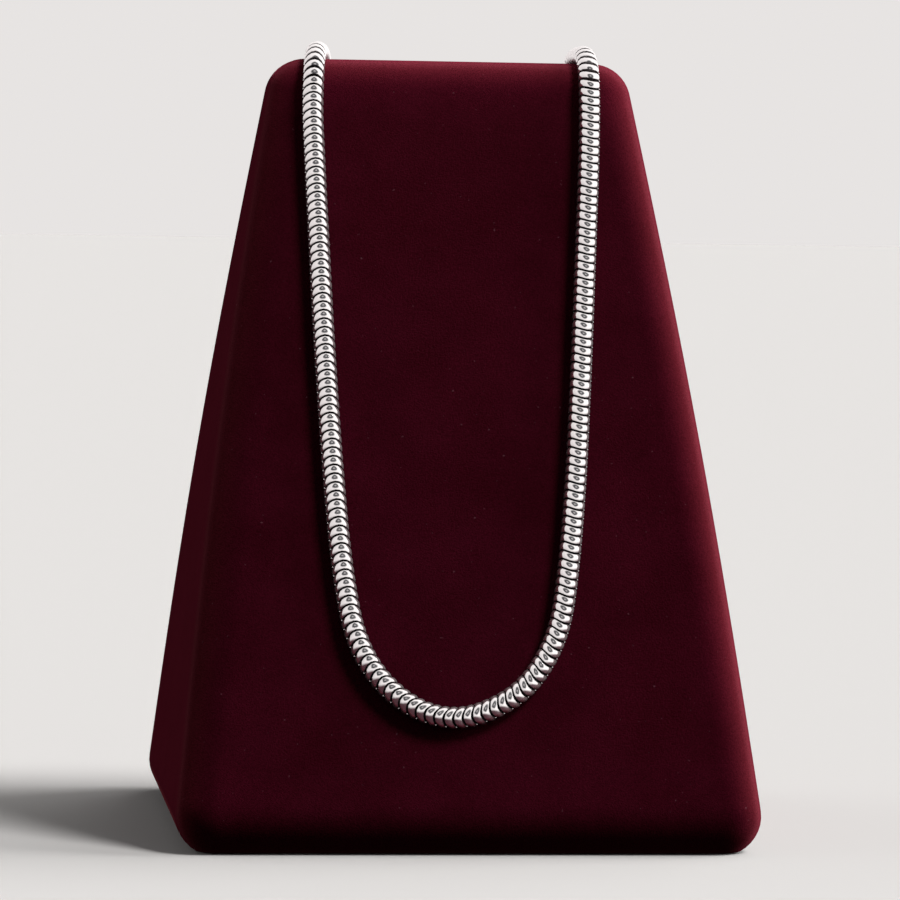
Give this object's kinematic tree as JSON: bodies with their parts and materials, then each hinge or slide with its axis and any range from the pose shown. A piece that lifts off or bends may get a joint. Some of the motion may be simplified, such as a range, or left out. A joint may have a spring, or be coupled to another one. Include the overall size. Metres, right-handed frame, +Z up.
{
  "type": "snake chain necklace on a velvet display stand",
  "caption": "Snake chain necklace of domed interlocking links, a closed loop laid over the ridge of a leaning velvet display stand.",
  "frame": {"origin": "under the middle of the stand, on the surface that it rests on", "axes": "+X to the right as seen from the front, +Y from the front to the back, +Z up"},
  "size_m": [0.134, 0.1338, 0.1884],
  "materials": {
    "velvet": "matt burgundy velvet with a short pile",
    "silver": "polished silver"
  },
  "bodies": {
    "root": {"stand": "velvet", "chain": "silver", "clasp": "silver"}
  },
  "joints": []
}
